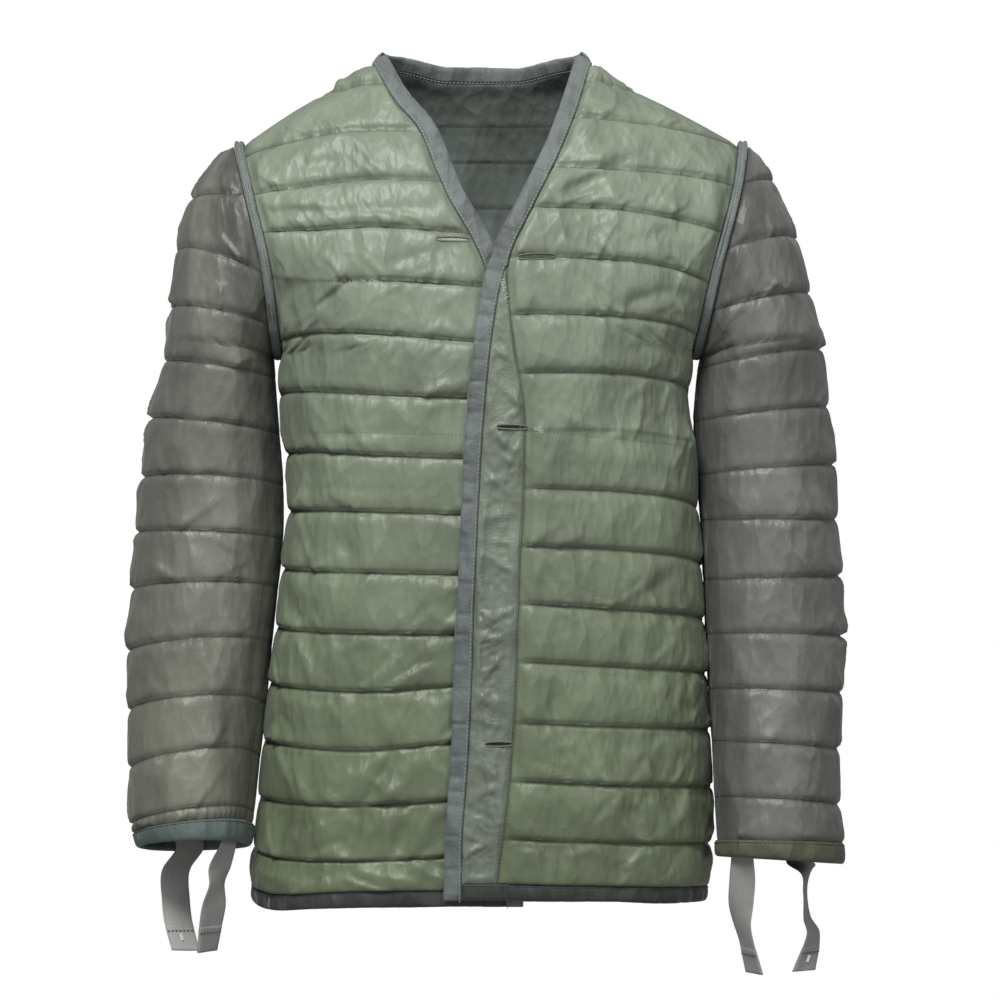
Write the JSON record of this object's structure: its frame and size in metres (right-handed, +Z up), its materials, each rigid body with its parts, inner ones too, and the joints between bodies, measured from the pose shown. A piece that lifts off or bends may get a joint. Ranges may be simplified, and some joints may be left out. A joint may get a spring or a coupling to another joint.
{
  "type": "jacket liner",
  "caption": "Quilted button-in jacket liner with a V neck, long sleeves, bound edges and webbing tabs at the cuffs.",
  "frame": {"origin": "level with the neck points of the shoulders, over the middle of the body from side to side and front to back", "axes": "+Z up, the front faces -Y, the wearer's left is towards +X"},
  "size_m": [0.6388, 0.2652, 0.8159],
  "materials": {
    "outer_quilting": "slightly shiny woven nylon over thin wadding",
    "sleeve_quilting": "shiny woven nylon over thin wadding",
    "strip_cloth": "slightly shiny woven nylon",
    "edge_tape": "plain woven tape",
    "hem_tape": "plain woven tape",
    "cuff_tape_right": "plain woven tape",
    "cuff_tape_left": "plain woven tape",
    "webbing": "ribbed cotton webbing"
  },
  "bodies": {
    "root": {"front_right": "outer_quilting", "front_left": "outer_quilting", "back": "outer_quilting", "sleeve_right": "sleeve_quilting", "sleeve_left": "sleeve_quilting", "facing_strip": "strip_cloth", "edge_binding_right": "edge_tape", "edge_binding_neck": "edge_tape", "edge_binding_left": "edge_tape", "hem_binding_right": "hem_tape", "hem_binding_left": "hem_tape", "hem_binding_back": "hem_tape", "armhole_binding_right": "edge_tape", "armhole_binding_left": "edge_tape", "cuff_binding_right": "cuff_tape_right", "cuff_binding_left": "cuff_tape_left", "tab_right_outer": "webbing", "tab_right_inner": "webbing", "tab_left_inner": "webbing", "tab_left_outer": "webbing"}
  },
  "joints": []
}
